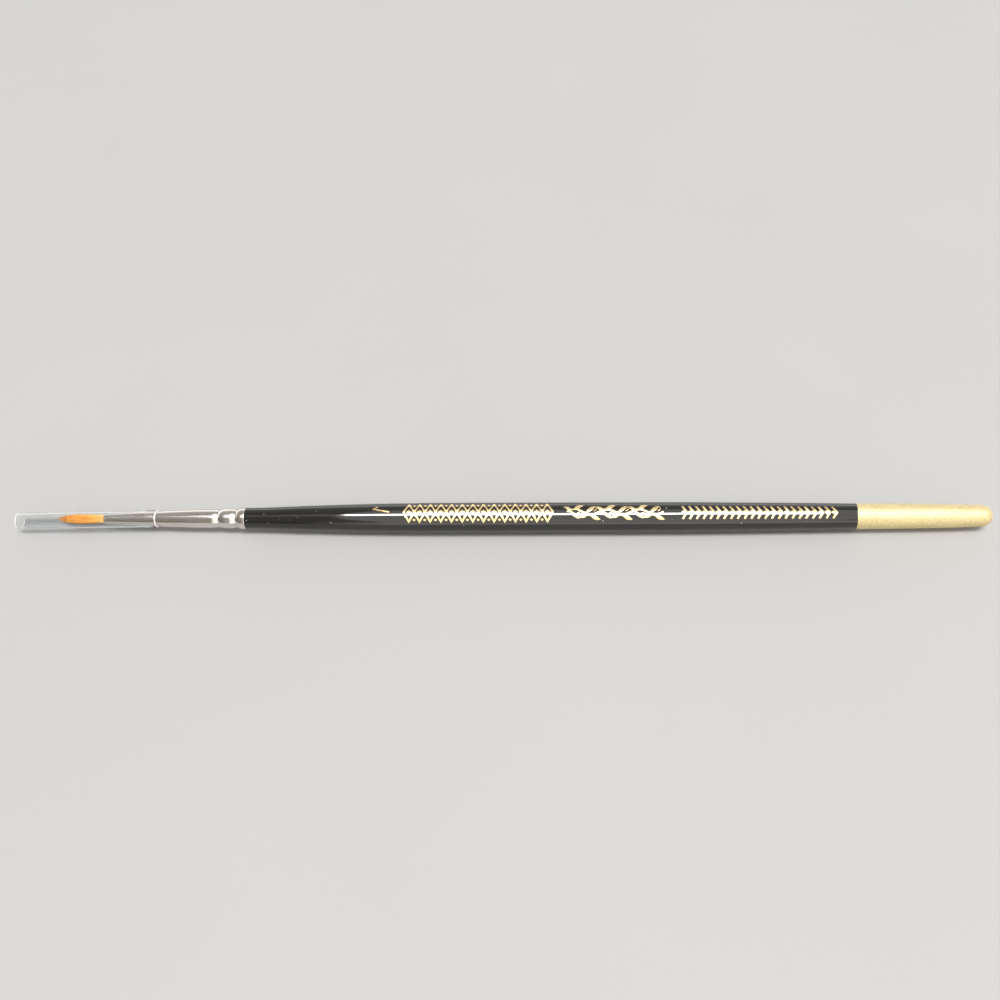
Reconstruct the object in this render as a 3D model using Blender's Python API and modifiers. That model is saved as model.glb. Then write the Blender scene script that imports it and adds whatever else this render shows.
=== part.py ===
"""A fine detail brush for painting models, with its clear protective cap pushed on.

The brush lies along X, tip towards -X, and rests on the plane z = 0 with one flat facet of its handle.
Every piece but the thread is turned: its outline is a list of (station, radius) points, where a station
is a place along the brush, measured from the middle of its whole length.
"""

import math

import bpy

MM = 0.001

# Turning
FACETS = 16  # round every turned piece, with one of them facing straight down
HALF_FACET = math.pi / FACETS
FINE = 0.45 * MM  # spacing of the points on small curves
COARSE = 12 * MM  # spacing of the points on the handle
GAP = 0.02 * MM  # left between pieces that touch on the real brush

# Whole brush
LENGTH = 184 * MM  # over the cap and the handle
FRONT = -LENGTH / 2
REAR = LENGTH / 2

# Protective cap, a tube that wedges on the ferrule's cone and droops a little towards its open end
CAP_LENGTH = 26.55 * MM
CAP_OUTER_RADIUS = 1.65 * MM
CAP_INNER_RADIUS = 1.4 * MM
CAP_EDGE = 0.05 * MM
CAP_DROOP = math.radians(1.5)
CAP_SEAT = FRONT + CAP_LENGTH  # station of the end that wedges

# Ferrule, a tapered tube with two rolled crimps and a flared rim
MOUTH = CAP_SEAT - 9.92 * MM
MOUTH_RADIUS = 0.937 * MM
CONE_SLOPE = 0.0432  # radius gained per unit of length
CONE_LENGTH = 19.1 * MM
WALL = 0.15 * MM
RIM = MOUTH + 26.66 * MM
CRIMPS = (  # distance ahead of the rim, and radius
    (5.85 * MM, 1.765 * MM),
    (5.0 * MM, 1.58 * MM),
    (4.0 * MM, 1.905 * MM),
    (2.5 * MM, 1.915 * MM),
    (1.7 * MM, 1.69 * MM),
    (0.9 * MM, 1.955 * MM),
    (0.3 * MM, 2.03 * MM),
    (0.0, 2.03 * MM),
)

# Hair tuft, with its thread and its glue
TIP = MOUTH - 9.23 * MM
BELLY = TIP + 4.3 * MM
BELLY_RADIUS = 0.89 * MM
TUFT_MOUTH_RADIUS = 0.75 * MM
ROOT = MOUTH + 9.65 * MM
ROOT_RADIUS = 0.86 * MM
ROOT_EDGE = 0.1 * MM
TUFT_STEPS = 9
THREAD_RADIUS = 0.08 * MM
THREAD_PITCH = 0.175 * MM
THREAD_TURNS = 4
THREAD_START = ROOT - 1.6 * MM
THREAD_POINTS_PER_TURN = 24
ROOT_GLUE_LIP = 0.6 * MM  # how far the glue reaches up round the root
ROOT_GLUE_LENGTH = 3.3 * MM
MENISCUS = 0.45 * MM

# Handle
NOSE = RIM - 8.3 * MM  # front end of the tenon
NOSE_EDGE = 0.2 * MM
SHOULDER_EDGE = 0.08 * MM
HANDLE_SHAPE = (  # station and radius, with a constant stretch at the belly that it rests on
    (RIM + GAP + SHOULDER_EDGE, 2.015 * MM),
    (-46.2 * MM, 2.02 * MM),
    (-41 * MM, 2.21 * MM),
    (-27.4 * MM, 2.62 * MM),
    (-12 * MM, 2.825 * MM),
    (32 * MM, 2.825 * MM),
    (38 * MM, 2.775 * MM),
    (56 * MM, 2.585 * MM),
    (67 * MM, 2.43 * MM),
    (82 * MM, 2.26 * MM),
    (89.8 * MM, 2.04 * MM),
)
HANDLE_BELLY_RADIUS = max(radius for _, radius in HANDLE_SHAPE)
DOME_START = HANDLE_SHAPE[-1][0]
DOME_STEPS = 6

# Glue round the tenon's nose
TENON_GLUE = 0.13 * MM  # thickness round the nose
TENON_GLUE_FRONT = NOSE - 0.8 * MM
TENON_GLUE_REAR = NOSE + 1.9 * MM

# Gold paint on the end
COAT = 0.1 * MM
COAT_START = REAR - 25.3 * MM

AXIS_HEIGHT = HANDLE_BELLY_RADIUS * math.cos(HALF_FACET)


def start_clean():
    """Removes every object of the scene, and returns the collection for the brush."""
    for obj in list(bpy.data.objects):
        bpy.data.objects.remove(obj, do_unlink=True)
    collection = bpy.data.collections.new("fine_detail_brush")
    bpy.context.scene.collection.children.link(collection)
    return collection


def finish(name, colour, roughness, metallic=0.0, transmission=0.0):
    """A plain Principled material."""
    material = bpy.data.materials.new(name)
    material.use_nodes = True
    shader = material.node_tree.nodes["Principled BSDF"]
    shader.inputs["Base Color"].default_value = (*colour, 1.0)
    shader.inputs["Roughness"].default_value = roughness
    shader.inputs["Metallic"].default_value = metallic
    shader.inputs["Transmission Weight"].default_value = transmission
    return material


def empty(name, collection):
    """An axis to build along: its Z runs along the brush, towards the end of the handle."""
    axis = bpy.data.objects.new(name, None)
    axis.empty_display_size = 5 * MM
    axis.rotation_mode = "ZYX"
    collection.objects.link(axis)
    return axis


def fair(points, spacing):
    """A smooth curve through (station, radius) points that never overshoots them."""
    rises = [(b[1] - a[1]) / (b[0] - a[0]) for a, b in zip(points, points[1:])]
    slopes = [2 * a * b / (a + b) if a * b > 0 else 0.0 for a, b in zip(rises, rises[1:])]
    slopes = [rises[0], *slopes, rises[-1]]
    curve = [points[0]]
    for (s0, r0), (s1, r1), m0, m1 in zip(points, points[1:], slopes, slopes[1:]):
        span = s1 - s0
        count = 1 if r0 == r1 else math.ceil(span / spacing)
        for step in range(1, count + 1):
            t = step / count
            bend = t * (1 - t)
            radius = r0 + (r1 - r0) * t * t * (3 - 2 * t) + span * bend * (m0 * (1 - t) - m1 * t)
            curve.append((s0 + span * t, radius))
    return curve


def between(curve, start, end):
    """The stretch of a curve from one station to another, with points put in at both."""
    inside = [point for point in curve if start < point[0] < end]
    return [(start, radius_at(curve, start)), *inside, (end, radius_at(curve, end))]


def radius_at(curve, station):
    """A curve's radius at a station, straight between its points."""
    for (s0, r0), (s1, r1) in zip(curve, curve[1:]):
        if s0 <= station <= s1:
            return r0 + (r1 - r0) * (station - s0) / (s1 - s0)
    raise ValueError("station off the curve")


def inset(curve, depth):
    """The same curve, nearer the axis."""
    return [(station, radius - depth) for station, radius in curve]


def turn(name, outline, material, axis, collection):
    """Turns an outline about the axis. It runs tip to handle along its outer side, and is closed by its
    last edge, from the last point to the first, unless both lie on the axis."""
    points = [(radius, 0.0, station) for station, radius in reversed(outline)]
    edges = [(i, i + 1) for i in range(len(points) - 1)]
    if outline[0][1] > 0:
        edges.append((len(points) - 1, 0))
    mesh = bpy.data.meshes.new(name)
    mesh.from_pydata(points, edges, [])
    obj = bpy.data.objects.new(name, mesh)
    screw = obj.modifiers.new("turn", "SCREW")
    screw.axis = "Z"
    screw.steps = screw.render_steps = FACETS
    screw.use_smooth_shade = True
    screw.use_merge_vertices = True
    screw.merge_threshold = 1e-6
    mesh.materials.append(material)
    obj.parent = axis
    collection.objects.link(obj)
    return obj


def ferrule_surface():
    """The ferrule's outer curve, from its mouth to its rim."""
    cone_end = MOUTH_RADIUS + CONE_SLOPE * CONE_LENGTH
    cone = [(MOUTH, MOUTH_RADIUS), (MOUTH + CONE_LENGTH, cone_end)]
    crimped = [cone[-1], *((RIM - ahead, radius) for ahead, radius in CRIMPS)]
    return [cone[0], *fair(crimped, FINE)]


def handle_surface():
    """The finished handle's curve, from its shoulder to where its rounded end begins."""
    return fair(HANDLE_SHAPE, COARSE)


def end_surface(depth):
    """The rounded end from the edge of the gold paint to the axis, this far under the finished surface."""
    side = between(inset(handle_surface(), depth), COAT_START, DOME_START)
    dome_length = REAR - DOME_START - depth
    dome_radius = side[-1][1]
    angles = [math.pi / 2 * step / DOME_STEPS for step in range(1, DOME_STEPS)]
    dome = [(DOME_START + dome_length * math.sin(a), dome_radius * math.cos(a)) for a in angles]
    return [*side, *dome, (DOME_START + dome_length, 0.0)]


def ferrule_outline():
    outer = ferrule_surface()
    return [*outer, *reversed(inset(outer, WALL))]


def cap_outline():
    """The cap's tube, with its stations measured from the end that wedges."""
    front, rear = -CAP_LENGTH, 0.0
    return [
        (front, CAP_OUTER_RADIUS - CAP_EDGE),
        (front + CAP_EDGE, CAP_OUTER_RADIUS),
        (rear - CAP_EDGE, CAP_OUTER_RADIUS),
        (rear, CAP_OUTER_RADIUS - CAP_EDGE),
        (rear, CAP_INNER_RADIUS + CAP_EDGE),
        (rear - CAP_EDGE, CAP_INNER_RADIUS),
        (front + CAP_EDGE, CAP_INNER_RADIUS),
        (front, CAP_INNER_RADIUS + CAP_EDGE),
    ]


def tuft_outline():
    """A point that swells as a quarter sine to the belly, then narrows into the ferrule's mouth."""
    steps = [step / TUFT_STEPS for step in range(TUFT_STEPS + 1)]
    point = [(TIP + (BELLY - TIP) * t, BELLY_RADIUS * math.sin(math.pi / 2 * t)) for t in steps]
    neck = fair([point[-1], (MOUTH, TUFT_MOUTH_RADIUS)], MM)
    root = [(ROOT - ROOT_EDGE, ROOT_RADIUS), (ROOT, ROOT_RADIUS - ROOT_EDGE), (ROOT, 0.0)]
    return [*point, *neck[1:], *root]


def root_glue_outline():
    """A plug behind the root with a lip round it and a hollow rear face."""
    bore = inset(ferrule_surface(), WALL + GAP)
    front, rear = ROOT - ROOT_GLUE_LIP, ROOT + ROOT_GLUE_LENGTH
    side = between(bore, front, rear)
    hollow = [
        (rear - MENISCUS * math.sin(math.pi / 2 * t), side[-1][1] * (1 - t)) for t in (0.25, 0.5, 1.0)
    ]
    lip = ROOT_RADIUS + GAP
    floor = ROOT + GAP
    return [(floor, 0.0), (floor, lip), (front, lip), *side, *hollow]


def tenon_glue_outline():
    """A cup round the tenon's nose."""
    bore = inset(ferrule_surface(), WALL + GAP)
    side = between(bore, TENON_GLUE_FRONT, TENON_GLUE_REAR)
    lining = inset(between(bore, NOSE - GAP, TENON_GLUE_REAR), TENON_GLUE)
    return [(TENON_GLUE_FRONT, 0.0), *side, *reversed(lining), (NOSE - GAP, 0.0)]


def handle_outline():
    """The tenon inside the ferrule, the shoulder, and the body, with room for the paint on its end."""
    bore = inset(ferrule_surface(), WALL + GAP)
    nose = inset(between(bore, NOSE, TENON_GLUE_REAR + GAP), TENON_GLUE + GAP)
    blunt = [(NOSE, 0.0), (NOSE, nose[0][1] - NOSE_EDGE), (NOSE + NOSE_EDGE, nose[0][1])]
    tenon = between(bore, TENON_GLUE_REAR + GAP, RIM)
    shoulder_radius = HANDLE_SHAPE[0][1]
    shoulder = [(RIM + GAP, tenon[-1][1]), (RIM + GAP, shoulder_radius - SHOULDER_EDGE)]
    body = between(handle_surface(), HANDLE_SHAPE[0][0], COAT_START - GAP)
    end = end_surface(COAT + GAP)
    end[0] = (COAT_START - GAP, end[0][1])
    return [*blunt, *nose[1:], *tenon, *shoulder, *body, *end]


def coat_outline():
    return [*end_surface(0.0), *reversed(end_surface(COAT))]


def make_thread(material, axis, collection):
    """The tie round the tuft's root, a helix of a few turns."""
    coil_radius = ROOT_RADIUS + GAP + THREAD_RADIUS
    count = THREAD_TURNS * THREAD_POINTS_PER_TURN + 1
    curve = bpy.data.curves.new("binding_thread", "CURVE")
    curve.dimensions = "3D"
    curve.bevel_depth = THREAD_RADIUS
    curve.bevel_resolution = 2
    curve.use_fill_caps = True
    spline = curve.splines.new("POLY")
    spline.points.add(count - 1)
    for i, point in enumerate(spline.points):
        turns = i / THREAD_POINTS_PER_TURN
        angle = 2 * math.pi * turns
        station = THREAD_START + THREAD_PITCH * turns
        point.co = (coil_radius * math.cos(angle), coil_radius * math.sin(angle), station, 1.0)
    curve.materials.append(material)
    obj = bpy.data.objects.new("binding_thread", curve)
    obj.parent = axis
    collection.objects.link(obj)


def main():
    collection = start_clean()

    brush_axis = empty("brush_axis", collection)
    brush_axis.location = (0, 0, AXIS_HEIGHT)
    brush_axis.rotation_euler = (0, math.pi / 2, HALF_FACET)
    cap_axis = empty("cap_axis", collection)
    cap_axis.location = (CAP_SEAT, 0, AXIS_HEIGHT)
    cap_axis.rotation_euler = (0, math.pi / 2 - CAP_DROOP, HALF_FACET)

    lacquer = finish("black_lacquer", (0.012, 0.011, 0.010), 0.08)
    gold = finish("gold_paint", (0.70, 0.56, 0.30), 0.38, metallic=0.8)
    nickel = finish("nickel_plate", (0.62, 0.58, 0.54), 0.18, metallic=1.0)
    hair = finish("kolinsky_hair", (0.62, 0.27, 0.06), 0.45)
    thread = finish("cotton_thread", (0.75, 0.70, 0.60), 0.8)
    resin = finish("amber_resin", (0.55, 0.33, 0.10), 0.25)
    wood_glue = finish("ivory_glue", (0.80, 0.74, 0.58), 0.5)
    clear = finish("clear_plastic", (0.95, 0.97, 0.98), 0.06, transmission=1.0)

    turn("handle", handle_outline(), lacquer, brush_axis, collection)
    turn("gold_end_coat", coat_outline(), gold, brush_axis, collection)
    turn("ferrule", ferrule_outline(), nickel, brush_axis, collection)
    turn("hair_tuft", tuft_outline(), hair, brush_axis, collection)
    turn("root_glue", root_glue_outline(), resin, brush_axis, collection)
    turn("tenon_glue", tenon_glue_outline(), wood_glue, brush_axis, collection)
    turn("protective_cap", cap_outline(), clear, cap_axis, collection)
    make_thread(thread, brush_axis, collection)


main()
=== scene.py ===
"""The looks of a fine detail brush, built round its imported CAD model.

The brush lies along X with its tuft towards -X. A station is a place along it. An angle round it starts at
the side that the camera is on, -Y, and a quarter of a turn on it points straight up.
"""

import math
import random

import bpy
from mathutils import Matrix, Vector


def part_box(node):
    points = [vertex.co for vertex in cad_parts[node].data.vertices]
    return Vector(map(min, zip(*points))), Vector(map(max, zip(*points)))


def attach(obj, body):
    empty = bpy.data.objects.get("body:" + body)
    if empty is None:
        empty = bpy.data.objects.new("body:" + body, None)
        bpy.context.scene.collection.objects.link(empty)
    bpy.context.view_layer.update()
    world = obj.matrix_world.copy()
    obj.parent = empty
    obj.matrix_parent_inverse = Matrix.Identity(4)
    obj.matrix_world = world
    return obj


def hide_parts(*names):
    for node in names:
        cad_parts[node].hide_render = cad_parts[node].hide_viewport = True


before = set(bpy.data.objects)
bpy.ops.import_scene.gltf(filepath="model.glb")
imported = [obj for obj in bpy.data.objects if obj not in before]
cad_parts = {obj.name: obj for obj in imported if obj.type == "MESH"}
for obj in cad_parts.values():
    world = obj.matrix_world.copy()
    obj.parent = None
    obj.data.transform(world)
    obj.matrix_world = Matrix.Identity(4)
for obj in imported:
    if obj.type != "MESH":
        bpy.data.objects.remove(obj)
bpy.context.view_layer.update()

MM = 0.001
TURN = 2 * math.pi

# Turning
SEGMENTS = 144
SHARP = math.radians(50)
STATION_PLACES = 5  # decimal places of a metre within which a CAD ring's points share a station
POINT_PLACES = 8  # decimal places of a metre within which two CAD points are one
HANDLE_SPACING = 1.0 * MM  # of the rings along a smooth curve
FERRULE_SPACING = 0.5 * MM
TUFT_SPACING = 0.15 * MM

# Camera
CAMERA_LENS = 30  # mm, on a sensor of 36 mm
CAMERA_DOWN = math.radians(54)
CAMERA_ROLL = math.radians(-0.2)
CAMERA_DISTANCE = 157.5 * MM  # from the middle of the brush, along the view
CAMERA_SHIFT = (-0.85 * MM, 3.31 * MM)  # to the right and up, from the line through that middle
CAMERA_NEAR = 1.0 * MM  # nothing nearer shows

# Lights, each a rectangle that looks at a spot (x, y) on the floor
LIGHT_HEIGHT = 3.0
LIGHT_COLOUR = (1.0, 0.985, 0.96)
LIGHTS = {
    "overhead_softbox": {
        "place": (0.29, -0.528, LIGHT_HEIGHT),
        "aim": (0.29, 0.0),
        "size": (2.1, 0.78),
        "radiance": 24.0,
    },
    "dim_end_softbox": {
        "place": (-1.08, -0.528, LIGHT_HEIGHT),
        "aim": (-1.08, 0.0),
        "size": (0.64, 0.9),
        "radiance": 0.75,
    },
    "ceiling_panel": {
        "place": (0.61, -1.29, LIGHT_HEIGHT + 0.2),
        "aim": (0.61, 0.0),
        "size": (3.05, 7.65),
        "radiance": 1.2,
    },
}

# Sky, as (sine of the height above the horizon, colour)
BACKDROP = (0.78, 0.78, 0.77)  # what the camera sees of it
SKY_TOP = (0.27, 0.26, 0.24)
SKY_FRONT = (
    (0.0, (2.2, 2.0, 1.75)),
    (0.2, (2.2, 2.0, 1.75)),
    (0.4, (0.6, 0.57, 0.52)),
    (1.0, SKY_TOP),
)
SKY_LEFT = (
    (0.0, (0.16, 0.15, 0.13)),
    (0.2, (0.2, 0.18, 0.15)),
    (0.45, (0.30, 0.28, 0.24)),
    (1.0, SKY_TOP),
)
SKY_BACK = (
    (0.0, (1.8, 1.8, 1.8)),
    (0.27, (1.6, 1.58, 1.56)),
    (0.5, (0.6, 0.58, 0.56)),
    (1.0, SKY_TOP),
)
LEFT_TO_FRONT = (-0.3, -0.15)  # the direction's X, over which one sky gives way to the other
FRONT_TO_BACK = (-0.25, 0.25)  # the direction's Y, likewise

# Floor
FLOOR_RINGS = 14
FLOOR_SIDES = 64
FLOOR_FIRST = 0.05  # radius of the innermost ring
FLOOR_GROWTH = 1.35  # of each ring over the one inside it
FLOOR_DROP = 0.01 * MM  # left under the belly

# Ferrule
FERRULE_WALL = 0.1 * MM
LEVEL = 0.011 * MM  # within which a bead's top counts as level
BEAD_MARGIN = 0.01 * MM  # past a bead's ends, within which it takes over from the plain curve
BEAD_STEPS = 20  # from a bead's top to the groove beside it
BEAD_POWER = 3.5  # above 2, a bead is flatter on top and steeper beside its groove
JAW_MARKS = 8  # round each crimp
JAW_DEPTH = 0.012 * MM
JAW_WIDTH = 0.5 * MM

# Handle
CORNER = 0.08 * MM  # the radius of its shoulder's edge
CORNER_STEPS = 5
DOME_LENGTH = 2.2 * MM
DOME_STEPS = 20
GOLD_PROUD = 0.014 * MM  # of the lacquer
GOLD_LAP = 0.45 * MM  # of the gold over the lacquer
GOLD_GAP = 0.001 * MM  # how far its lining sinks into the lacquer
GOLD_FRONT_STEPS = 8
GOLD_CREEP = 0.34 * MM  # how far the dip's edge reaches forward all round
GOLD_TILT = 0.57 * MM  # how much further it reaches on one side
GOLD_TILT_ANGLE = math.radians(54)
GOLD_WAVE = 0.05 * MM  # unevenness of that edge
GOLD_WAVES = ((0.6, 2, 0.7), (0.3, 5, 2.0), (0.2, 11, 0.0))  # its parts: (share, waves in a turn, phase)
GOLD_FADE = 4.0 * MM  # length over which creep, tilt and wave die out
GOLD_DEPTH = 0.1 * MM  # of the coat behind its lap

# Tuft
MOUTH_MARGIN = 0.01 * MM  # past the ferrule's mouth, within which a ring of the tuft counts as at it
CORE_SHARE = 0.93  # of the tuft's envelope
CORE_SETBACK = 1.1 * MM  # from the tip
CORE_NOSE = 1.2 * MM  # the length of its round nose
BLUNTNESS = 0.62  # below 1, the tuft is fuller near its tip than the CAD's
HAIRS = 340
HAIR_SEED = 11
HAIR_RINGS = 12
HAIR_RADIUS = 0.034 * MM
HAIR_RADII = (0.75, 1.2)  # the finest and the coarsest, as shares of that
HAIR_ROOT = 0.7 * MM  # how far inside the ferrule it starts
HAIR_DRIFT = 0.16  # radians that a hair typically strays round the tuft
HAIR_LAYERS = (0.9, 0.99)  # the innermost and the outermost, as shares of the envelope
HAIR_TUCK = 0.06  # how much nearer the axis a hair's end lies
HAIR_THINNING = 0.8  # the share of its thickness that a hair loses
HAIR_TAPER = 2.2  # above 1, it thins mostly near its end
HAIRS_AT_TIP = 0.05  # the share of hairs that reach the tip
# How far short of the tip the others end, in shares of the tuft's length outside the ferrule: the least,
# the spread, and a power that crowds them towards the tip, since it is above 1
HAIR_SETBACK = (0.05, 0.6, 1.5)

# Tube edges and cap
LIP_STEPS = 6
CAP_STEPS = 60
CAP_END = 0.2 * MM  # within which a CAD point counts as at the cap's end

# Foil. Stations, lengths and widths on it are in millimetres, and angles in degrees.
FOIL_HEIGHT = 0.012 * MM
FOIL_SINK = 0.02 * MM
FOIL_TOP = (-0.86, -0.3, 0.3, 0.86)  # places across a ribbon's raised top, in half widths
FOIL_LAYERS = 5
FOIL_LAYER = 0.0008 * MM  # between the heights of ribbons that may cross
FOIL_STEP = 0.25  # between the rings of a ribbon
FOIL_NARROWEST = 0.02  # half width
FOIL_MITRE = 0.55  # the least cosine used to widen a ribbon's corner
LATTICE = {"start": -18.8, "end": 8.95, "low": 40.0, "high": 114.0, "count": 14, "width": 0.38}
LATTICE_GEM = (0.5, 13.0)  # half the length and half the height of a lozenge
LATTICE_BEAD = (0.3, 6.0)
LATTICE_BORDER = 7.0  # from the lattice's edge to the middle of its beads
VINE = {"start": 11.6, "end": 29.5, "middle": 76.0, "swing": 12.0, "waves": 3}
VINE_STEPS = 72
VINE_WIDTH = 0.6
LEAVES = ((0.2, 0.9, 2.0, 18, 0.75), (1.0, 0.4, 2.0, -26, 0.75), (0.6, 0.7, -1.6, 13, 0.6))
LEAF = {"steps": 8, "stem": 0.06, "fullness": 0.8}  # stem: how far into its taper a leaf starts
TENDRIL = {"past": 0.5, "inwards": 4.0, "size": 0.6, "turns": 0.85, "steps": 20, "width": 0.2}
TENDRIL_CLOSING = 0.6  # the share of its radius that it loses as it winds in
TENDRIL_THINNING = 0.5
CHEVRONS = {"start": 33.1, "end": 62.4, "low": 47.0, "high": 100.0, "count": 23, "width": 0.42}
CHEVRON_LEAN = 0.6  # of a chevron's point, in pitches
CHEVRON_GEM = (0.36, 10.0)
CHEVRON_GEM_PLACE = 0.12  # from the station of a chevron's ends to the middle of its lozenge
SIZE_MARK = {"start": -24.6, "end": -21.5, "middle": 86.0, "lean": 7, "width": 0.36}
SIZE_FLAG = {"start": (0.05, 6), "end": (0.9, 18), "width": 0.26}  # places from the mark's top


def ends(node):
    """The stations at which a CAD node starts and ends."""
    return tuple(round(corner.x, STATION_PLACES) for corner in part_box(node))


# The frame
AXIS_Z = sum(corner.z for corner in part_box("handle")) / 2
BRUSH_AXIS = Matrix.Translation((0, 0, AXIS_Z))
MOUTH, RIM = ends("ferrule")
TIP, ROOT = ends("hair_tuft")
GOLD_START, REAR = ends("gold_end_coat")


def middle(points):
    """The mean of some points."""
    return sum(points, Vector()) / len(points)


def cad_points(node):
    """A CAD node's points, each once."""
    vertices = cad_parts[node].data.vertices
    return [Vector(point) for point in {tuple(round(c, POINT_PLACES) for c in v.co) for v in vertices}]


def cad_curve(node, start=-math.inf, end=math.inf):
    """The outer curve of a node turned about the brush's axis: (station, radius) points, tip to handle."""
    curve = {}
    for point in cad_points(node):
        station = round(point.x, STATION_PLACES)
        radius = math.hypot(point.y, point.z - AXIS_Z)
        if start <= station <= end:
            curve[station] = max(radius, curve.get(station, 0.0))
    return sorted(curve.items())


def fair(points, spacing):
    """A smooth curve through (station, radius) points that never overshoots them."""
    rises = [(b[1] - a[1]) / (b[0] - a[0]) for a, b in zip(points, points[1:])]
    slopes = [2 * a * b / (a + b) if a * b > 0 else 0.0 for a, b in zip(rises, rises[1:])]
    slopes = [rises[0], *slopes, rises[-1]]
    curve = [points[0]]
    for (s0, r0), (s1, r1), m0, m1 in zip(points, points[1:], slopes, slopes[1:]):
        span = s1 - s0
        count = math.ceil(span / spacing)
        for step in range(1, count + 1):
            t = step / count
            bend = t * (1 - t)
            radius = r0 + (r1 - r0) * t * t * (3 - 2 * t) + span * bend * (m0 * (1 - t) - m1 * t)
            curve.append((s0 + span * t, radius))
    return curve


def radius_at(curve, station):
    """A curve's radius at a station, straight between its points."""
    for (s0, r0), (s1, r1) in zip(curve, curve[1:]):
        if s0 <= station <= s1:
            return r0 + (r1 - r0) * (station - s0) / (s1 - s0)
    raise ValueError("station off the curve")


def between(curve, start, end):
    """The stretch of a curve from one station to another, with points put in at both."""
    inside = [point for point in curve if start < point[0] < end]
    return [(start, radius_at(curve, start)), *inside, (end, radius_at(curve, end))]


def inset(curve, depth):
    """The same curve, nearer the axis."""
    return [(station, radius - depth) for station, radius in curve]


def lip(end, radius, wall, way):
    """Points of the half round edge of a tube, from its outer to its inner side."""
    points = []
    for step in range(1, LIP_STEPS):
        angle = math.pi * step / LIP_STEPS
        station = end + way * wall / 2 * (math.sin(angle) - 1)
        points.append((station, radius - wall / 2 + wall / 2 * math.cos(angle)))
    return points


def tube(curve, wall):
    """The closed outline of a tube with this outer curve, with half round edges."""
    start, end = curve[0][0], curve[-1][0]
    outer = between(curve, start + wall / 2, end - wall / 2)
    rear = lip(end, outer[-1][1], wall, 1)
    front = lip(start, outer[0][1], wall, -1)
    return [*outer, *rear, *reversed(inset(outer, wall)), *reversed(front)]


def dome(start, radius, end):
    """A round end, from just past its start to the axis."""
    angles = [math.pi / 2 * step / DOME_STEPS for step in range(1, DOME_STEPS)]
    side = [(start + (end - start) * math.sin(a), radius * math.cos(a)) for a in angles]
    return [*side, (end, 0.0)]


def place(axis, station, radius, angle):
    """The point at a station and radius, this many radians round an axis."""
    return axis @ Vector((station, -radius * math.cos(angle), radius * math.sin(angle)))


def band(first, second):
    """The faces between two rings of points, either of which may be a single point."""
    faces = []
    for step in range(max(len(first), len(second))):
        corners = (
            first[step % len(first)],
            second[step % len(second)],
            second[(step + 1) % len(second)],
            first[(step + 1) % len(first)],
        )
        faces.append(list(dict.fromkeys(corners)))
    return faces


def strand(rings):
    """The faces of a strand with closed ends. Its rings wind anticlockwise for an eye that looks along it."""
    sides = [face for a, b in zip(rings, rings[1:]) for face in band(a, b)]
    return [*sides, list(rings[0]), list(reversed(rings[-1]))]


def mesh_object(name, points, faces):
    """A smooth shaded object of these points and faces."""
    mesh = bpy.data.meshes.new(name)
    mesh.from_pydata(points, [], faces)
    mesh.shade_smooth()
    mesh.set_sharp_from_angle(angle=SHARP)
    obj = bpy.data.objects.new(name, mesh)
    bpy.context.scene.collection.objects.link(obj)
    return obj


def lathe(name, outline, axis=BRUSH_AXIS, closed=False, warp=None):
    """Turns (station, radius) points, listed tip to handle along their outer side, about an axis.
    A closed outline makes a tube. An open one starts and ends on the axis."""
    points, rings = [], []
    for station, radius in outline:
        count = SEGMENTS if radius > 0 else 1
        rings.append(range(len(points), len(points) + count))
        for step in range(count):
            angle = TURN * step / SEGMENTS
            bent = warp(station, radius, angle) if warp else (station, radius)
            points.append(place(axis, *bent, angle))
    pairs = list(zip(rings, rings[1:]))
    if closed:
        pairs.append((rings[-1], rings[0]))
    faces = [face for a, b in pairs if len(a) + len(b) > 2 for face in band(a, b)]
    return mesh_object(name, points, faces)


def dress(obj, body, slot, material, *nodes):
    """Gives a piece its material and the body that it moves with; the slot that it takes is not used. It
    stands for these CAD nodes.
    """
    obj.data.materials.append(material)
    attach(obj, body)
    if nodes:
        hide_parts(*nodes)
    return obj


# ---------------------------------------------------------------- materials


def fill_ramp(node, stops):
    """Gives a Color Ramp node these (place, colour) stops."""
    elements = node.color_ramp.elements
    while len(elements) < len(stops):
        elements.new(0.5)
    for element, (position, colour) in zip(elements, stops):
        element.position = position
        element.color = (*colour, 1.0)


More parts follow.
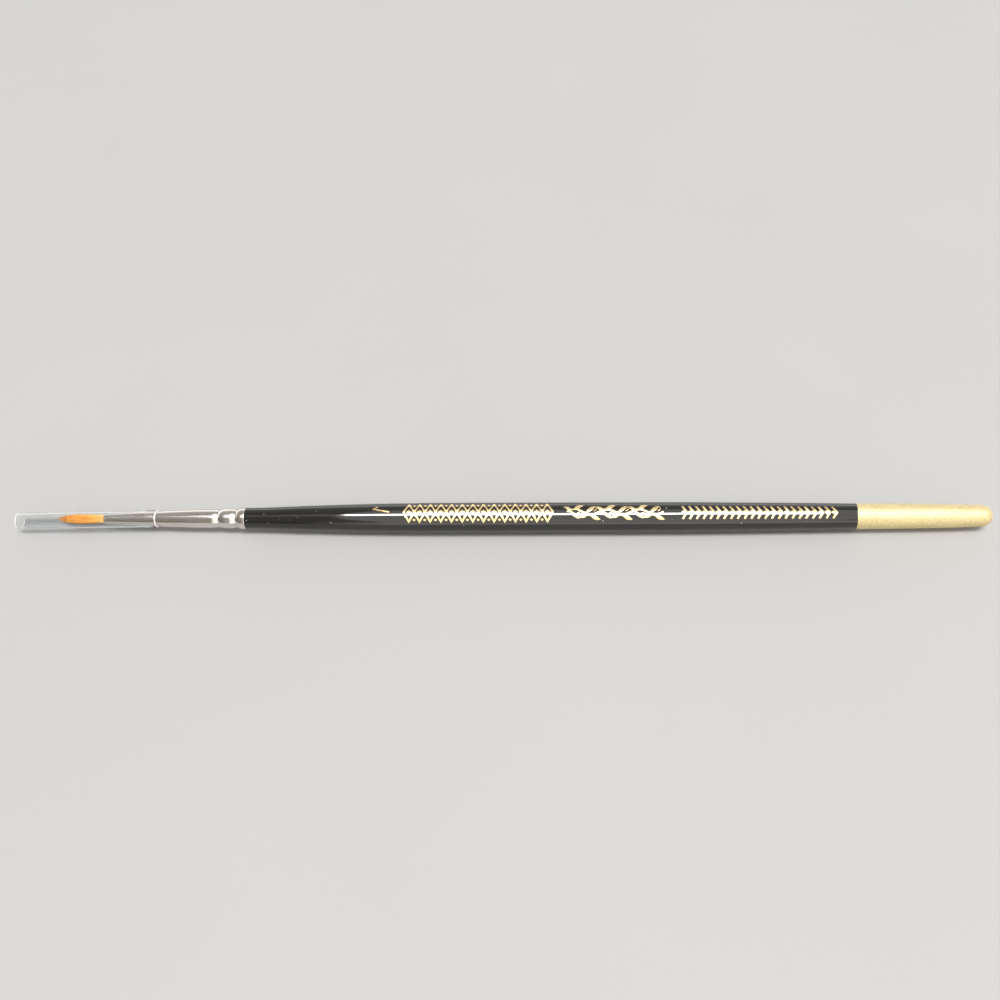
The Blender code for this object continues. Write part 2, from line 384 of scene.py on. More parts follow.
class Finish:
    """A material, with short ways to add nodes to it. Its sizes are in millimetres."""

    def __init__(self, name, **sockets):
        self.material = bpy.data.materials.new(name)
        self.material.use_nodes = True
        self.tree = self.material.node_tree
        self.shader = self.tree.nodes["Principled BSDF"]
        self.place = self.add("TexCoord").outputs["Object"]
        for key, value in sockets.items():
            self.set(key, value)

    def set(self, key, value):
        """Sets or links one of the shader's sockets, named with _ for a space."""
        self.feed(self.shader, key.replace("_", " ").title().replace("Ior", "IOR"), value)

    def feed(self, node, key, value):
        """Sets a node's socket to a number, vector or colour, or links it to another socket."""
        socket = node.inputs[key]
        if isinstance(value, bpy.types.NodeSocket):
            self.tree.links.new(value, socket)
        elif isinstance(value, tuple) and socket.type == "RGBA":
            socket.default_value = (*value, 1.0)
        else:
            socket.default_value = value

    def add(self, kind, sockets=None, **settings):
        """Adds a node, with what feeds its sockets and its settings."""
        node = self.tree.nodes.new("ShaderNode" + kind)
        for key, value in settings.items():
            setattr(node, key, value)
        for key, value in (sockets or {}).items():
            self.feed(node, key, value)
        return node

    def scaled(self, grain, shift=0.0):
        """The place on the piece, in units of grain (x, y, z) in millimetres."""
        scale = tuple(1 / (g * MM) for g in grain)
        sockets = {"Vector": self.place, "Location": (shift, shift, shift), "Scale": scale}
        return self.add("Mapping", sockets).outputs[0]

    def noise(self, grain, detail=2.0, shift=0.0):
        """Noise with lumps of about this size. It runs from 0 to 1, mostly near 0.5."""
        sockets = {"Vector": self.scaled(grain, shift), "Scale": 1.0, "Detail": detail}
        return self.add("TexNoise", sockets).outputs[0]

    def along(self, start, end, at_start=1.0, at_end=0.0):
        """A value that goes from one number to another between two stations."""
        station = self.add("SeparateXYZ", {"Vector": self.place}).outputs["X"]
        return self.span(station, start, end, at_start, at_end)

    def specks(self, spacing, size, shift=0.0, share=1.0):
        """Small round specks, 1 inside and 0 outside, with a size of their own each. share scales them."""
        cells = self.add("TexVoronoi", {"Vector": self.scaled((spacing,) * 3, shift), "Scale": 1.0})
        limit = self.maths("MULTIPLY", self.channel(cells.outputs["Color"]), size / spacing)
        return self.maths("LESS_THAN", cells.outputs["Distance"], self.maths("MULTIPLY", limit, share))

    def channel(self, colour):
        """One channel of a random colour, as a random number."""
        return self.add("SeparateColor", {"Color": colour}).outputs["Red"]

    def maths(self, operation, a, b=0.0, c=0.0):
        """The result of one of the Math node's operations."""
        return self.add("Math", {0: a, 1: b, 2: c}, operation=operation).outputs[0]

    def span(self, value, low, high, to_low=0.0, to_high=1.0):
        """Maps a value from one span to another, clamped."""
        sockets = {"Value": value, "From Min": low, "From Max": high, "To Min": to_low, "To Max": to_high}
        return self.add("MapRange", sockets).outputs["Result"]

    def mix(self, factor, a, b, blend="MIX"):
        """Mixes two colours."""
        return self.add("Mix", {0: factor, 6: a, 7: b}, data_type="RGBA", blend_type=blend).outputs[2]

    def ramp(self, factor, *stops):
        """A colour from (place, colour) stops."""
        node = self.add("ValToRGB", {"Fac": factor})
        fill_ramp(node, stops)
        return node.outputs["Color"]

    def bump(self, height, depth, strength=1.0, normal=None):
        """A bumpy normal, from a height of 0 to 1 that stands for this depth in millimetres."""
        sockets = {"Height": height, "Distance": depth * MM, "Strength": strength}
        if normal is not None:
            sockets["Normal"] = normal
        return self.add("Bump", sockets).outputs["Normal"]


def black_lacquer():
    """Deep gloss lacquer with fine scratches, a faint ripple and some dust, most of it near the ferrule."""
    f = Finish("black_lacquer", roughness=0.5, specular_ior_level=0.0)
    f.set("coat_weight", 1.0)
    f.set("coat_ior", 1.6)
    f.set("coat_roughness", 0.03)
    tinge = f.noise((9, 2.5, 2.5), 3.0)
    base = f.mix(f.span(tinge, 0.3, 0.7), (0.006, 0.006, 0.0062), (0.011, 0.0105, 0.010))
    worn = f.along(RIM, RIM + 25 * MM)
    dust = f.maths("MAXIMUM", f.specks(1.7, 0.15), f.specks(0.8, 0.12, 5.0, worn))
    f.set("base_color", f.mix(dust, base, (0.36, 0.35, 0.34)))
    ripple = f.bump(f.noise((6, 1.6, 1.6), 1.0, 7.0), 0.004)
    scratches = f.noise((5, 0.06, 0.06), 4.0, 3.0)
    f.set("coat_normal", f.bump(scratches, 0.0022, f.maths("MULTIPLY_ADD", worn, 0.85, 0.12), ripple))
    return f.material


def gold_paint():
    """Champagne gold paint with a fine metallic grain."""
    f = Finish("gold_paint", metallic=0.95)
    grain = f.noise((0.13, 0.13, 0.13), 3.0)
    flakes = f.noise((0.07, 0.07, 0.07), 1.0, 5.0)
    cloud = f.noise((3.5, 1.5, 1.5), 2.0, 9.0)
    plain = f.ramp(f.span(grain, 0.3, 0.7), (0.0, (0.40, 0.32, 0.155)), (1.0, (0.92, 0.80, 0.49)))
    f.set("base_color", f.mix(f.span(cloud, 0.35, 0.65, 0.0, 0.3), plain, (0.82, 0.70, 0.44)))
    f.set("roughness", f.span(flakes, 0.3, 0.7, 0.55, 0.67))
    f.set("normal", f.bump(grain, 0.016))
    return f.material


def nickel_plate():
    """Bright plated brass with lengthwise drawing lines, fine scratches and a few specks of dirt."""
    f = Finish("nickel_plate", metallic=1.0)
    lines = f.noise((9, 0.07, 0.07), 3.0)
    turning = f.noise((0.05, 1.4, 1.4), 2.0, 4.0)
    cloud = f.noise((3, 1.2, 1.2), 2.0, 8.0)
    plain = f.ramp(f.span(cloud, 0.3, 0.7), (0.0, (0.64, 0.60, 0.55)), (1.0, (0.73, 0.70, 0.67)))
    dirt = f.specks(1.1, 0.07, 2.0)
    f.set("base_color", f.mix(dirt, plain, (0.20, 0.16, 0.12)))
    f.set("roughness", f.span(lines, 0.3, 0.7, 0.13, 0.24))
    nicks = f.bump(f.specks(1.6, 0.10, 6.0), 0.006)
    fine = f.bump(turning, 0.0006, normal=nicks)
    f.set("normal", f.bump(lines, 0.0012, normal=fine))
    return f.material


def tuft_hair():
    """Golden at the ferrule, orange at the belly and paler at the tip, with a streak to each hair."""
    f = Finish("tuft_hair", roughness=0.4)
    colour = f.ramp(
        f.along(TIP, MOUTH, 0.0, 1.0),
        (0.0, (0.62, 0.30, 0.08)),
        (0.2, (0.80, 0.35, 0.05)),
        (0.5, (0.93, 0.44, 0.065)),
        (0.85, (0.95, 0.54, 0.12)),
        (1.0, (0.96, 0.70, 0.30)),
    )
    streak = f.noise((4, 0.06, 0.06), 2.0)
    dark = f.mix(1.0, colour, (0.56, 0.40, 0.25), "MULTIPLY")
    f.set("base_color", f.mix(f.span(streak, 0.37, 0.60), dark, colour))
    f.set("normal", f.bump(streak, 0.008))
    return f.material


def clear_plastic():
    """Clear tube with faint scratches. Shadow and diffuse rays go straight through it, as through a film."""
    f = Finish("clear_plastic", base_color=(0.94, 0.948, 0.95), transmission_weight=1.0, ior=1.49)
    scuffs = f.noise((5, 0.12, 0.12), 4.0)
    f.set("roughness", f.span(scuffs, 0.45, 0.75, 0.01, 0.08))
    f.set("normal", f.bump(f.noise((3, 0.9, 0.9), 1.0, 6.0), 0.003))
    edge = f.add("LayerWeight", {"Blend": 0.5}).outputs["Facing"]
    let_through = f.ramp(edge, (0.0, (0.94, 0.95, 0.96)), (1.0, (0.45, 0.47, 0.49)))
    clear = f.add("BsdfTransparent", {"Color": let_through}).outputs[0]
    ray = f.add("LightPath").outputs
    surface = f.shader.outputs[0]
    for kind in ("Is Shadow Ray", "Is Diffuse Ray"):
        surface = f.add("MixShader", {0: ray[kind], 1: surface, 2: clear}).outputs[0]
    f.feed(f.tree.nodes["Material Output"], "Surface", surface)
    return f.material


def sawn_plastic():
    """The frosted cut end of the clear tube."""
    f = Finish("sawn_plastic", transmission_weight=0.25, ior=1.49)
    cuts = f.noise((0.15, 0.08, 0.08), 3.0)
    f.set("base_color", f.mix(cuts, (0.80, 0.82, 0.84), (0.97, 0.98, 0.98)))
    f.set("roughness", f.span(cuts, 0.3, 0.7, 0.22, 0.45))
    f.set("normal", f.bump(cuts, 0.01))
    return f.material


def gold_foil():
    """Hot-stamped foil, bright and a little uneven."""
    f = Finish("gold_foil", metallic=1.0)
    wear = f.noise((0.6, 0.25, 0.25), 3.0)
    f.set("base_color", f.mix(f.span(wear, 0.35, 0.65), (0.88, 0.62, 0.28), (1.0, 0.82, 0.48)))
    f.set("roughness", f.span(wear, 0.3, 0.7, 0.26, 0.38))
    f.set("normal", f.bump(f.noise((0.12, 0.12, 0.12), 2.0, 5.0), 0.003))
    return f.material


def cotton_thread():
    """Pale twisted thread."""
    f = Finish("cotton_thread", roughness=0.8)
    fibres = f.noise((0.05, 0.2, 0.2), 3.0)
    f.set("base_color", f.mix(fibres, (0.60, 0.54, 0.44), (0.86, 0.82, 0.73)))
    f.set("normal", f.bump(fibres, 0.02))
    return f.material


def amber_resin():
    """Set resin, uneven in colour."""
    f = Finish("amber_resin", roughness=0.22)
    cloud = f.noise((0.9, 0.5, 0.5), 3.0)
    f.set("base_color", f.mix(cloud, (0.36, 0.18, 0.05), (0.66, 0.42, 0.14)))
    f.set("normal", f.bump(cloud, 0.02))
    return f.material


def wood_glue():
    """Dried ivory glue."""
    f = Finish("wood_glue", roughness=0.5)
    cloud = f.noise((0.5, 0.4, 0.4), 3.0)
    f.set("base_color", f.mix(cloud, (0.70, 0.62, 0.44), (0.86, 0.80, 0.66)))
    f.set("normal", f.bump(cloud, 0.02))
    return f.material


def studio_floor():
    """Plain pale floor, paler far from the brush, where less light falls on it."""
    f = Finish("studio_floor", roughness=0.7)
    cloud = f.noise((60, 60, 60), 2.0)
    near = f.mix(cloud, (0.312, 0.314, 0.316), (0.328, 0.328, 0.328))
    away = f.add("VectorMath", {0: f.place}, operation="LENGTH").outputs["Value"]
    slant = f.maths("DIVIDE", away, LIGHT_HEIGHT)
    f.set("base_color", f.mix(1.0, near, f.maths("MULTIPLY_ADD", slant, slant, 1.0), "MULTIPLY"))
    return f.material


# ------------------------------------------------------------------- pieces


def handle_surface():
    """The finished handle's curve, from its shoulder to the start of its round end."""
    shoulder = cad_curve("handle", RIM)[1][0]
    wood = cad_curve("handle", shoulder, GOLD_START)
    gold = cad_curve("gold_end_coat", GOLD_START + MM, REAR - DOME_LENGTH)
    return fair([*wood, *gold], HANDLE_SPACING)


def make_handle(surface):
    """Tenon, shoulder and lacquered body, and the bare end inside the gold."""
    tenon = cad_curve("handle", end=RIM)
    nose = (tenon[0][0], 0.0)
    start, shoulder = surface[0]
    face = start - CORNER
    angles = [math.pi / 2 * step / CORNER_STEPS for step in range(CORNER_STEPS + 1)]
    corner = [(face + CORNER * (1 - math.cos(a)), shoulder - CORNER * (1 - math.sin(a))) for a in angles]
    body = between(surface, start, GOLD_START + GOLD_LAP)[1:]
    bare = cad_curve("handle", GOLD_START + GOLD_LAP)
    step_down = (body[-1][0], radius_at(cad_curve("handle", GOLD_START + MM), bare[0][0]))
    outline = [nose, *tenon, (face, tenon[-1][1]), *corner, *body, step_down, *bare]
    dress(lathe("lacquered_handle", outline), "brush", "black_lacquer", black_lacquer(), "handle")


def gold_edge(surface):
    """A warp that lets the dip's front edge lie askew and uneven, as paint runs."""

    def warp(station, radius, angle):
        height = radius - radius_at(surface, min(station, surface[-1][0]))
        fade = max(0.0, 1 - (station - GOLD_START) / GOLD_FADE) ** 2
        if fade == 0 or height < -GOLD_DEPTH / 2:
            return station, radius
        wave = sum(share * math.sin(count * angle + phase) for share, count, phase in GOLD_WAVES)
        reach = GOLD_CREEP + GOLD_TILT * math.cos(angle - GOLD_TILT_ANGLE) + GOLD_WAVE * wave
        moved = station - reach * fade
        return moved, radius_at(surface, moved) + height

    return warp


def gold_front(surface):
    """The soft front edge of the dip, as a quarter of an ellipse."""
    points = []
    for step in range(GOLD_FRONT_STEPS + 1):
        t = step / GOLD_FRONT_STEPS
        station = GOLD_START + GOLD_LAP / 2 * t
        points.append((station, radius_at(surface, station) + GOLD_PROUD * math.sqrt(t * (2 - t))))
    return points


def make_gold_end(surface):
    """A dip of thick paint, with a soft lip over the lacquer."""
    end = surface[-1][0]
    side = inset(between(surface, GOLD_START + GOLD_LAP / 2, end)[1:], -GOLD_PROUD)
    outer = [*gold_front(surface), *side, *dome(*side[-1], REAR)]
    lap_end = GOLD_START + GOLD_LAP
    lap = inset(between(surface, GOLD_START, lap_end)[1:], GOLD_GAP)
    coat = inset(between(surface, lap_end, end), GOLD_DEPTH)
    lining = [*lap, *coat, *dome(*coat[-1], REAR - GOLD_DEPTH)]
    outline = [*outer, *reversed(lining)]
    obj = lathe("gold_dipped_end", outline, closed=True, warp=gold_edge(surface))
    dress(obj, "brush", "gold_paint", gold_paint(), "gold_end_coat")


def jaw_marks(grooves):
    """A warp that leaves the crimping jaws' faint marks in the grooves at these stations."""

    def warp(station, radius, angle):
        depth = sum(math.exp(-(((station - groove) / JAW_WIDTH) ** 2)) for groove in grooves)
        return station, radius - JAW_DEPTH * depth * (0.5 + 0.5 * math.cos(JAW_MARKS * angle))

    return warp


def crest(rings):
    """The top that these rings, listed outwards from a groove, rise to: the middle of its level stretch."""
    top = rings[0][1]
    climbed = []
    for station, radius in rings:
        if radius < top - LEVEL:
            break
        top = max(top, radius)
        climbed.append((station, radius))
    level = [station for station, radius in climbed if radius > top - LEVEL]
    return (level[0] + level[-1]) / 2, top


def beaded(rings, grooves):
    """A smooth curve through the rings, with a round bead on both sides of each groove."""
    curve = fair(rings, FERRULE_SPACING)
    for groove in grooves:
        foot, bottom = rings[groove]
        for outwards in (rings[groove::-1], rings[groove:]):
            top, radius = crest(outwards)
            low, high = min(top, foot) - BEAD_MARGIN, max(top, foot) + BEAD_MARGIN
            curve = [point for point in curve if not low < point[0] < high]
            for step in range(BEAD_STEPS + 1):
                t = step / BEAD_STEPS
                curve.append((top + (foot - top) * t, radius - (radius - bottom) * t**BEAD_POWER))
    return sorted({round(station, 7): radius for station, radius in curve}.items())


def make_ferrule():
    """Drawn tube with two rolled crimps."""
    rings = cad_curve("ferrule")
    radii = [radius for _, radius in rings]
    grooves = [i for i in range(1, len(rings) - 1) if radii[i - 1] > radii[i] < radii[i + 1]]
    outline = tube(beaded(rings, grooves), FERRULE_WALL)
    marks = jaw_marks([rings[i][0] for i in grooves])
    obj = lathe("ferrule_tube", outline, closed=True, warp=marks)
    dress(obj, "brush", "nickel_plate", nickel_plate(), "ferrule")


def fuller(envelope):
    """The tuft's envelope, blunter between its tip and its belly."""
    belly, widest = max(envelope, key=lambda point: point[1])
    return [(s, widest * (r / widest) ** BLUNTNESS if s < belly else r) for s, r in envelope]


def make_tuft_core(envelope, material):
    """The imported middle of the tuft, with its root inside the ferrule."""
    start = TIP + CORE_SETBACK
    point = []
    for station, radius in between(envelope, start, MOUTH):
        swell = math.sqrt(min(1.0, (station - start) / CORE_NOSE))
        point.append((station, radius * CORE_SHARE * swell))
    root = cad_curve("hair_tuft", MOUTH + MM)
    outline = [*point, *root, (ROOT, 0.0)]
    dress(lathe("tuft_core", outline), "brush", "tuft_hair", material)


def hair(rng, envelope):
    """A hair's rings: it leaves the ferrule, follows the envelope and thins to its end."""
    angle = rng.uniform(0, TURN)
    drift = rng.gauss(0, HAIR_DRIFT)
    share = rng.uniform(*HAIR_LAYERS)
    least, spread, crowding = HAIR_SETBACK
    setback = least + spread * rng.random() ** crowding if rng.random() > HAIRS_AT_TIP else 0.0
    end = TIP + setback * (MOUTH - TIP)
    start = MOUTH + HAIR_ROOT
    thickness = HAIR_RADIUS * rng.uniform(*HAIR_RADII)
    rings = []
    for step in range(HAIR_RINGS + 1):
        t = step / HAIR_RINGS
        station = start + (end - start) * t
        radius = radius_at(envelope, min(station, MOUTH)) * share * (1 - HAIR_TUCK * t)
        round_to = angle + drift * t
        thin = thickness * (1 - HAIR_THINNING * t**HAIR_TAPER)
        centre = place(BRUSH_AXIS, station, radius, round_to)
        outward = place(BRUSH_AXIS, station, radius + thin, round_to) - centre
        sideways = Vector((0, -outward.z, outward.y))
        rings.append([centre + outward, centre + sideways, centre - outward, centre - sideways])
    return rings


def make_hairs(envelope, material):
    """The tuft's outer hairs, in one mesh."""
    rng = random.Random(HAIR_SEED)
    points, faces = [], []
    for _ in range(HAIRS):
        rings = hair(rng, envelope)
        loops = []
        for ring in rings:
            loops.append(range(len(points), len(points) + len(ring)))
            points.extend(ring)
        faces.extend(strand(loops))
    dress(mesh_object("tuft_hairs", points, faces), "brush", "tuft_hair", material, "hair_tuft")


def make_tuft(envelope):
    """The tuft's core and hairs, of one material."""
    material = tuft_hair()
    make_tuft_core(envelope, material)
    make_hairs(envelope, material)


def cap_axis():
    """The cap's own axes: X runs along its centre line, from the open end to the seat."""
    points = cad_points("protective_cap")
    low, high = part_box("protective_cap")
    seat = middle([p for p in points if p.x > high.x - CAP_END])
    open_end = middle([p for p in points if p.x < low.x + CAP_END])
    along = (seat - open_end).normalized()
    up = along.cross(Vector((0, 1, 0)))
    axis = Matrix((along, (0, 1, 0), up)).transposed().to_4x4()
    axis.translation = seat
    return axis


def make_cap():
    """A cut length of clear tube, frosted where it was sawn."""
    axis = cap_axis()
    local = [axis.inverted() @ p for p in cad_points("protective_cap")]
    radii = [math.hypot(p.y, p.z) for p in local]
    start, end = min(p.x for p in local), max(p.x for p in local)
    outer, wall = max(radii), max(radii) - min(radii)
    curve = [(start + (end - start) * step / CAP_STEPS, outer) for step in range(CAP_STEPS + 1)]
    obj = lathe("clear_cap", tube(curve, wall), axis=axis, closed=True)
    dress(obj, "cap", "clear_plastic", clear_plastic(), "protective_cap")
    obj.data.materials.append(sawn_plastic())
    for face in obj.data.polygons:
        station = (axis.inverted() @ face.center).x
        if min(station - start, end - station) < wall / 2:
            face.material_index = 1


def finish_inner_nodes():
    """Gives the CAD nodes that stay inside the brush their own materials."""
    finishes = {"binding_thread": cotton_thread, "root_glue": amber_resin, "tenon_glue": wood_glue}
    for node, finish in finishes.items():
        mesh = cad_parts[node].data
        mesh.materials.clear()
        mesh.materials.append(finish())


# --------------------------------------------------------------------- foil


def resample(path):
    """Points at most FOIL_STEP apart along a path of (station, arc) points, keeping its own."""
    points = [path[0]]
    for (x0, y0), (x1, y1) in zip(path, path[1:]):
        count = max(1, math.ceil(math.hypot(x1 - x0, y1 - y0) / FOIL_STEP))
        points += [(x0 + (x1 - x0) * k / count, y0 + (y1 - y0) * k / count) for k in range(1, count + 1)]
    return points


def side_steps(points):
    """The unit step to the left of a path at each of its points, longer at a corner to keep its width."""
    steps = []
    for i in range(len(points)):
        before = Vector(points[i]) - Vector(points[max(0, i - 1)])
        after = Vector(points[min(len(points) - 1, i + 1)]) - Vector(points[i])
        before = before if before.length > 0 else after
        after = after if after.length > 0 else before
        along = (before.normalized() + after.normalized()).normalized()
        corner = max(FOIL_MITRE, along.dot(before.normalized()))
        steps.append(Vector((-along.y, along.x)) / corner)
    return steps


def arc_mm(degrees):
    """The length of an arc of this many degrees round the handle's belly, in millimetres."""
    return math.radians(degrees) * HANDLE_BELLY / MM


class Foil:
    """Foil ribbons laid on the handle, collected into one mesh."""

    def __init__(self, name, surface):
        self.name, self.surface = name, surface
        self.points, self.faces = [], []
        self.count = 0

    def lay(self, station, arc, height):
        """The point at a station and an arc round the belly, at this height above the lacquer."""
        radius = radius_at(self.surface, station * MM) + height
        return place(BRUSH_AXIS, station * MM, radius, arc * MM / HANDLE_BELLY)

    def ribbon(self, path, width, taper=None):
        """A raised strip along (station, degrees) points. taper gives its share of the width at 0 to 1."""
        flat = resample([(x, arc_mm(degrees)) for x, degrees in path])
        height = FOIL_HEIGHT + self.count % FOIL_LAYERS * FOIL_LAYER
        section = [(-1, -FOIL_SINK), *((offset, height) for offset in FOIL_TOP), (1, -FOIL_SINK)]
        self.count += 1
        loops = []
        for i, (point, side) in enumerate(zip(flat, side_steps(flat))):
            share = taper(i / (len(flat) - 1)) if taper else 1.0
            half = max(FOIL_NARROWEST, width / 2 * share)
            loops.append(range(len(self.points), len(self.points) + len(section)))
            for offset, rise in section:
                x, y = Vector(point) + side * offset * half
                self.points.append(self.lay(x, y, rise))
        self.faces.extend(strand(loops))

    def diamond(self, station, angle, length, height):
        """A small filled lozenge, of this length each way and this many degrees each way."""
        path = [(station - length, angle), (station, angle), (station + length, angle)]
        self.ribbon(path, 2 * arc_mm(height), taper=lambda t: 1 - abs(2 * t - 1))

    def finish(self, material):
        """Makes the piece."""
        dress(mesh_object(self.name, self.points, self.faces), "brush", "gold_paint", material)


def lattice(foil):
    """Two crossing zigzags that make a chain of lozenges, with a filled one in each and between them."""
    start, end, low, high = (LATTICE[key] for key in ("start", "end", "low", "high"))
    pitch = (end - start) / LATTICE["count"]
    mid = (low + high) / 2
    peaks = [start + pitch * (step + 0.5) for step in range(LATTICE["count"])]
    for turns in ((low, high), (high, low)):
        zigzag = [(x, turns[step % 2]) for step, x in enumerate(peaks)]
        foil.ribbon([(start, mid), *zigzag, (end, mid)], LATTICE["width"])
    for step, x in enumerate(peaks):
        foil.diamond(x, mid, *LATTICE_GEM)
        if step > 0:
            foil.diamond(x - pitch / 2, low + LATTICE_BORDER, *LATTICE_BEAD)
            foil.diamond(x - pitch / 2, high - LATTICE_BORDER, *LATTICE_BEAD)


def leaf(foil, station, angle, reach, rise, width):
    """A pointed leaf that curves away from its stem."""
    stem, fullness = LEAF["stem"], LEAF["fullness"]
    steps = [step / LEAF["steps"] for step in range(LEAF["steps"] + 1)]
    path = [(station + reach * t, angle + rise * math.sin(math.pi / 2 * t)) for t in steps]
    foil.ribbon(path, width, taper=lambda t: math.sin(math.pi * min(1.0, stem + t)) ** fullness)


def tendril(foil, station, angle, way):
    """A thin curl that winds in from its stem."""
    size, steps = TENDRIL["size"], TENDRIL["steps"]
    path = []
    for step in range(steps + 1):
        t = step / steps
        radius = size * (1 - TENDRIL_CLOSING * t)
        bearing = TENDRIL["turns"] * TURN * t
        rise = way * (size - radius * math.cos(bearing))
        path.append((station + radius * math.sin(bearing), angle + rise / arc_mm(1)))
    foil.ribbon(path, TENDRIL["width"], taper=lambda t: 1 - TENDRIL_THINNING * t)


def vine(foil):
    """A waving stem with three leaves and a thin tendril at each bend.
    A leaf is listed as how far before the bend it starts, at which share of the swing, its reach, its rise
    and its width."""
    start, end, mid, swing = (VINE[key] for key in ("start", "end", "middle", "swing"))
    steps = [step / VINE_STEPS for step in range(VINE_STEPS + 1)]
    stem = [(start + (end - start) * t, mid + swing * math.sin(VINE["waves"] * TURN * t)) for t in steps]
    foil.ribbon(stem, VINE_WIDTH, taper=lambda t: 0.5 + 0.5 * math.sin(math.pi * t))
    bends = 2 * VINE["waves"]
    for bend in range(bends):
        x = start + (end - start) * (bend + 0.5) / bends
        way = 1 if bend % 2 == 0 else -1
        for before, share, reach, rise, width in LEAVES:
            leaf(foil, x - before, mid + way * swing * share, reach, way * rise, width)
        tendril(foil, x + TENDRIL["past"], mid - way * TENDRIL["inwards"], -way)


def chevrons(foil):
    """A row of chevrons with a small lozenge in each."""
    start, end, low, high = (CHEVRONS[key] for key in ("start", "end", "low", "high"))
    pitch = (end - start) / CHEVRONS["count"]
    mid = (low + high) / 2
    for step in range(CHEVRONS["count"]):
        x = start + pitch * step
        foil.ribbon([(x, low), (x + CHEVRON_LEAN * pitch, mid), (x, high)], CHEVRONS["width"])
        foil.diamond(x + CHEVRON_GEM_PLACE, mid, *CHEVRON_GEM)


def size_mark(foil):
    """The numeral of the brush's size, read with the tip upwards."""
    top, foot, mid, lean = (SIZE_MARK[key] for key in ("start", "end", "middle", "lean"))
    foil.ribbon([(top, mid + lean), (foot, mid - lean)], SIZE_MARK["width"])
    flag = [(top + x, mid + degrees) for x, degrees in (SIZE_FLAG["start"], SIZE_FLAG["end"])]
    foil.ribbon(flag, SIZE_FLAG["width"])


def make_foils(surface):
    """The ornaments and the numeral, each a piece named for the function that draws it."""
    material = gold_foil()
    for draw in (size_mark, lattice, vine, chevrons):
        foil = Foil("foil_" + draw.__name__, surface)
        draw(foil)
        foil.finish(material)


# -------------------------------------------------------------------- studio


def make_camera():
    """A camera in front of the brush, which looks down at it."""
    scene = bpy.context.scene
    camera = bpy.data.objects.new("camera", bpy.data.cameras.new("camera"))
    scene.collection.objects.link(camera)
    camera.data.lens = CAMERA_LENS
    camera.data.clip_start = CAMERA_NEAR
    tilt = Matrix.Rotation(math.pi / 2 - CAMERA_DOWN, 4, "X")
    right, up, back = (tilt.to_3x3() @ Vector(v) for v in ((1, 0, 0), (0, 1, 0), (0, 0, 1)))
    aside, above = CAMERA_SHIFT
    camera.matrix_world = tilt @ Matrix.Rotation(CAMERA_ROLL, 4, "Z")
    camera.location = Vector((0, 0, AXIS_Z)) + right * aside + up * above + back * CAMERA_DISTANCE
    scene.camera = camera


def make_floor():
    """A wide disc, with its rings closer near the brush."""
    level = AXIS_Z - HANDLE_BELLY - FLOOR_DROP
    points = [(0.0, 0.0, level)]
    rings = [range(1)]
    for ring in range(FLOOR_RINGS):
        radius = FLOOR_FIRST * FLOOR_GROWTH**ring
        rings.append(range(len(points), len(points) + FLOOR_SIDES))
        for step in range(FLOOR_SIDES):
            angle = TURN * step / FLOOR_SIDES
            points.append((radius * math.cos(angle), radius * math.sin(angle), level))
    faces = [face for pair in zip(rings, rings[1:]) for face in band(*pair)]
    floor = mesh_object("studio_floor", points, faces)
    floor.data.materials.append(studio_floor())


def make_light(name, place, aim, size, radiance):
    """A rectangular soft light that points at a spot (x, y) on the floor."""
    light = bpy.data.lights.new(name, "AREA")
    light.shape = "RECTANGLE"
    light.size, light.size_y = size
    light.energy = radiance * math.pi * size[0] * size[1]
    light.color = LIGHT_COLOUR
    lamp = bpy.data.objects.new(name, light)
    lamp.visible_camera = False
    lamp.location = place
    lamp.rotation_euler = (Vector((*aim, 0)) - lamp.location).to_track_quat("-Z", "Y").to_euler()
    bpy.context.scene.collection.objects.link(lamp)


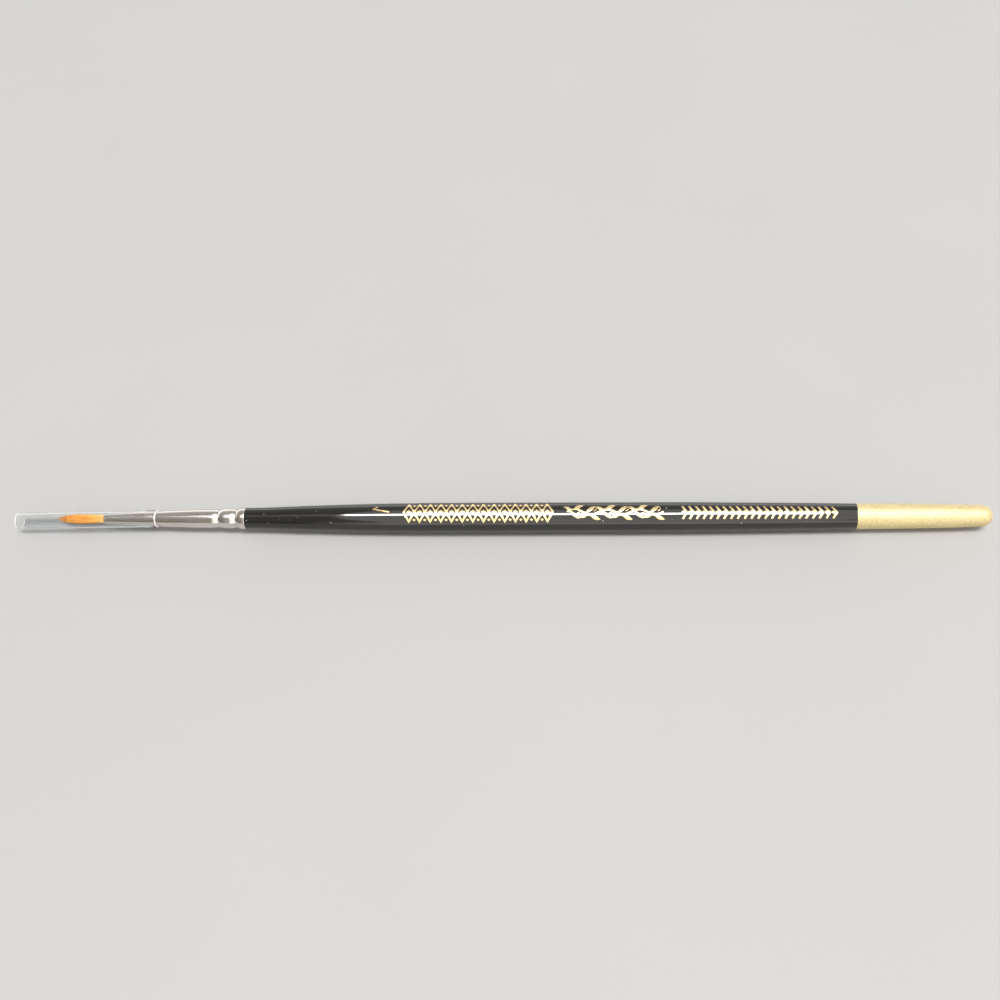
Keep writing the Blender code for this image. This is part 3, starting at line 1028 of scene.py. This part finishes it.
def make_sky():
    """A room that is bright at eye level in front and behind, and dimmer overhead and on the left."""
    world = bpy.data.worlds.new("studio")
    world.use_nodes = True
    tree = world.node_tree
    split = tree.nodes.new("ShaderNodeSeparateXYZ")
    tree.links.new(tree.nodes.new("ShaderNodeTexCoord").outputs["Generated"], split.inputs[0])

    def ramp(stops):
        """The sky's colour at each height."""
        node = tree.nodes.new("ShaderNodeValToRGB")
        fill_ramp(node, stops)
        tree.links.new(split.outputs["Z"], node.inputs["Fac"])
        return node.outputs["Color"]

    def blend(axis, low, high, at_low, at_high):
        """Goes from one colour to another between two values of the direction's X or Y."""
        where = tree.nodes.new("ShaderNodeMapRange")
        where.inputs["From Min"].default_value = low
        where.inputs["From Max"].default_value = high
        tree.links.new(split.outputs[axis], where.inputs["Value"])
        mix = tree.nodes.new("ShaderNodeMix")
        mix.data_type = "RGBA"
        tree.links.new(where.outputs["Result"], mix.inputs[0])
        tree.links.new(at_low, mix.inputs[6])
        tree.links.new(at_high, mix.inputs[7])
        return mix.outputs[2]

    front = blend("X", *LEFT_TO_FRONT, ramp(SKY_LEFT), ramp(SKY_FRONT))
    sky = blend("Y", *FRONT_TO_BACK, front, ramp(SKY_BACK))
    seen = tree.nodes.new("ShaderNodeMix")
    seen.data_type = "RGBA"
    seen.inputs[7].default_value = (*BACKDROP, 1.0)
    tree.links.new(tree.nodes.new("ShaderNodeLightPath").outputs["Is Camera Ray"], seen.inputs[0])
    tree.links.new(sky, seen.inputs[6])
    tree.links.new(seen.outputs[2], tree.nodes["Background"].inputs["Color"])
    bpy.context.scene.world = world


def make_studio():
    """Camera, floor, lights and sky."""
    bpy.context.scene.view_settings.view_transform = "Standard"
    make_camera()
    make_floor()
    for name, light in LIGHTS.items():
        make_light(name, **light)
    make_sky()


SURFACE = handle_surface()
HANDLE_BELLY = max(radius for _, radius in SURFACE)
ENVELOPE = fuller(fair(cad_curve("hair_tuft", end=MOUTH + MOUTH_MARGIN), TUFT_SPACING))

make_studio()
make_handle(SURFACE)
make_gold_end(SURFACE)
make_ferrule()
make_tuft(ENVELOPE)
make_cap()
make_foils(SURFACE)
finish_inner_nodes()
